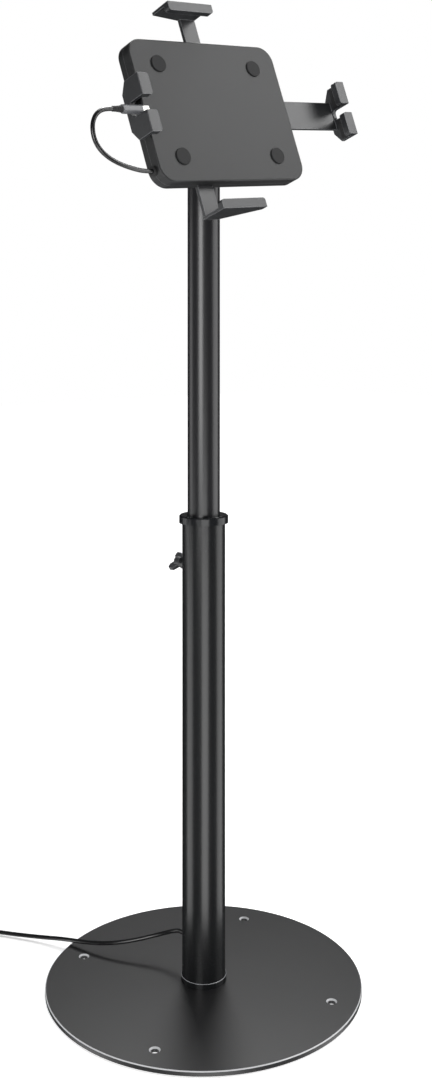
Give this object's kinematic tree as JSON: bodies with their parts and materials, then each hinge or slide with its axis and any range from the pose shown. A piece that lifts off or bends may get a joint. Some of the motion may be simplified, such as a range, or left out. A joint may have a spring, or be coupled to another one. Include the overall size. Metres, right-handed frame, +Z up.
{
  "type": "tablet floor stand",
  "caption": "Free-standing floor stand with a round base, telescoping column and tilting clamp holder for a tablet, with a charging cable through the column.",
  "frame": {"origin": "middle of the base's underside, on the column's axis", "axes": "+Z up along the column; the holder faces -Y and its right side is towards +X"},
  "size_m": [0.3668, 0.45, 1.0467],
  "materials": {
    "powder_coated_steel": "satin powder coat",
    "fine_powder_coat": "fine satin powder coat",
    "gloss_black_plastic": "smooth moulded",
    "black_rubber": "moulded rubber",
    "claw_plastic": "fine moulded grain",
    "shell_plastic": "fine moulded grain",
    "zinc_steel": "zinc plated",
    "guide_plastic": "turned acetal",
    "black_cast_metal": "satin powder coat",
    "brass_gear": "cut brass",
    "divider_steel": "rolled sheet",
    "brake_felt": "pressed felt",
    "cable_jacket": "smooth soft jacket",
    "tie_strap": "woven strap",
    "plug_plastic": "moulded",
    "wall_end_plastic": "moulded",
    "plug_metal": "stamped steel"
  },
  "bodies": {
    "base": {"base_plate": "powder_coated_steel", "base_pad": "black_rubber", "foot_screws": "zinc_steel", "foot_plug": "zinc_steel", "foot_ring": "powder_coated_steel", "lower_tube": "powder_coated_steel", "collar": "gloss_black_plastic", "guide_bush": "guide_plastic", "clamp_boss": "powder_coated_steel", "pressure_pad": "guide_plastic", "cable_riser": "cable_jacket", "cable_grommet": "black_rubber", "cable_tail": "cable_jacket", "cable_coil": "cable_jacket", "coil_tie": "tie_strap", "cable_end": "cable_jacket", "wall_end_relief": "black_rubber", "wall_end_body": "wall_end_plastic", "wall_end_shell": "plug_metal"},
    "knob": {"clamp_stud": "zinc_steel", "clamp_knob": "gloss_black_plastic"},
    "carriage": {"lower_glide": "guide_plastic"},
    "pole": {"upper_tube": "fine_powder_coat", "glide_clip": "zinc_steel", "neck": "black_cast_metal", "neck_screws": "zinc_steel", "cable_drop": "cable_jacket"},
    "tilt": {"tilt_bracket": "black_cast_metal", "tilt_bolt": "zinc_steel", "tilt_nut": "zinc_steel", "friction_washers": "guide_plastic"},
    "holder": {"pivot_flange": "black_cast_metal", "flange_screws": "zinc_steel", "pivot_washer": "zinc_steel", "pivot_nut": "zinc_steel", "front_shell": "shell_plastic", "rear_shell": "shell_plastic", "divider_plate": "divider_steel", "shell_screws": "zinc_steel", "front_pads": "black_rubber", "brake_pads": "brake_felt", "cable_port": "black_rubber", "left_fork": "claw_plastic", "left_fork_pads": "black_rubber", "fork_screws": "zinc_steel", "charge_cable": "cable_jacket", "plug_relief": "black_rubber", "plug_body": "plug_plastic", "plug_tip": "plug_metal"},
    "right_arm": {"right_arm": "claw_plastic", "right_pads": "black_rubber"},
    "top_arm": {"top_arm": "claw_plastic", "top_pad": "black_rubber"},
    "bottom_arm": {"bottom_arm": "claw_plastic", "bottom_pad": "black_rubber"},
    "pinion": {"pinion": "brass_gear"}
  },
  "joints": [
    {"name": "clamp_turn", "type": "hinge", "parent": "base", "child": "knob", "pos_m": [-0.00906, 0.03381, 0.4525], "axis": [-0.2588, 0.9659, 0], "continuous": true},
    {"name": "height_slide", "type": "slide", "parent": "base", "child": "carriage", "axis": [0, 0, 1], "range_m": [-0.31, 0.025]},
    {"name": "pole_swivel", "type": "hinge", "parent": "carriage", "child": "pole", "pos_m": [0, 0, 0.4], "axis": [0, 0, 1], "continuous": true},
    {"name": "tilt_hinge", "type": "hinge", "parent": "pole", "child": "tilt", "pos_m": [0, 0, 0.9175], "axis": [-1, 0, 0], "range_deg": [-17, 60]},
    {"name": "holder_spin", "type": "hinge", "parent": "tilt", "child": "holder", "pos_m": [0, 0, 0.9175], "axis": [0, 0.9543, -0.2989], "continuous": true},
    {"name": "right_arm_slide", "type": "slide", "parent": "holder", "child": "right_arm", "axis": [0.9965, 0.0249, 0.0794], "range_m": [-0.075, 0.012]},
    {"name": "top_arm_slide", "type": "slide", "parent": "holder", "child": "top_arm", "axis": [-0.0832, 0.2978, 0.951], "range_m": [-0.028, 0.012]},
    {"name": "bottom_arm_slide", "type": "slide", "parent": "holder", "child": "bottom_arm", "axis": [0.0832, -0.2978, -0.951], "range_m": [-0.0281, 0.0121]},
    {"name": "pinion_turn", "type": "hinge", "parent": "holder", "child": "pinion", "pos_m": [-0.04536, -0.04722, 0.92832], "axis": [0, 0.9543, -0.2989], "range_deg": [-92, 214.5]}
  ],
  "couplings": [
    {"joint": "bottom_arm_slide", "follows": "top_arm_slide", "ratio": 1},
    {"joint": "pinion_turn", "follows": "top_arm_slide", "rad_per_m": -133.33}
  ]
}
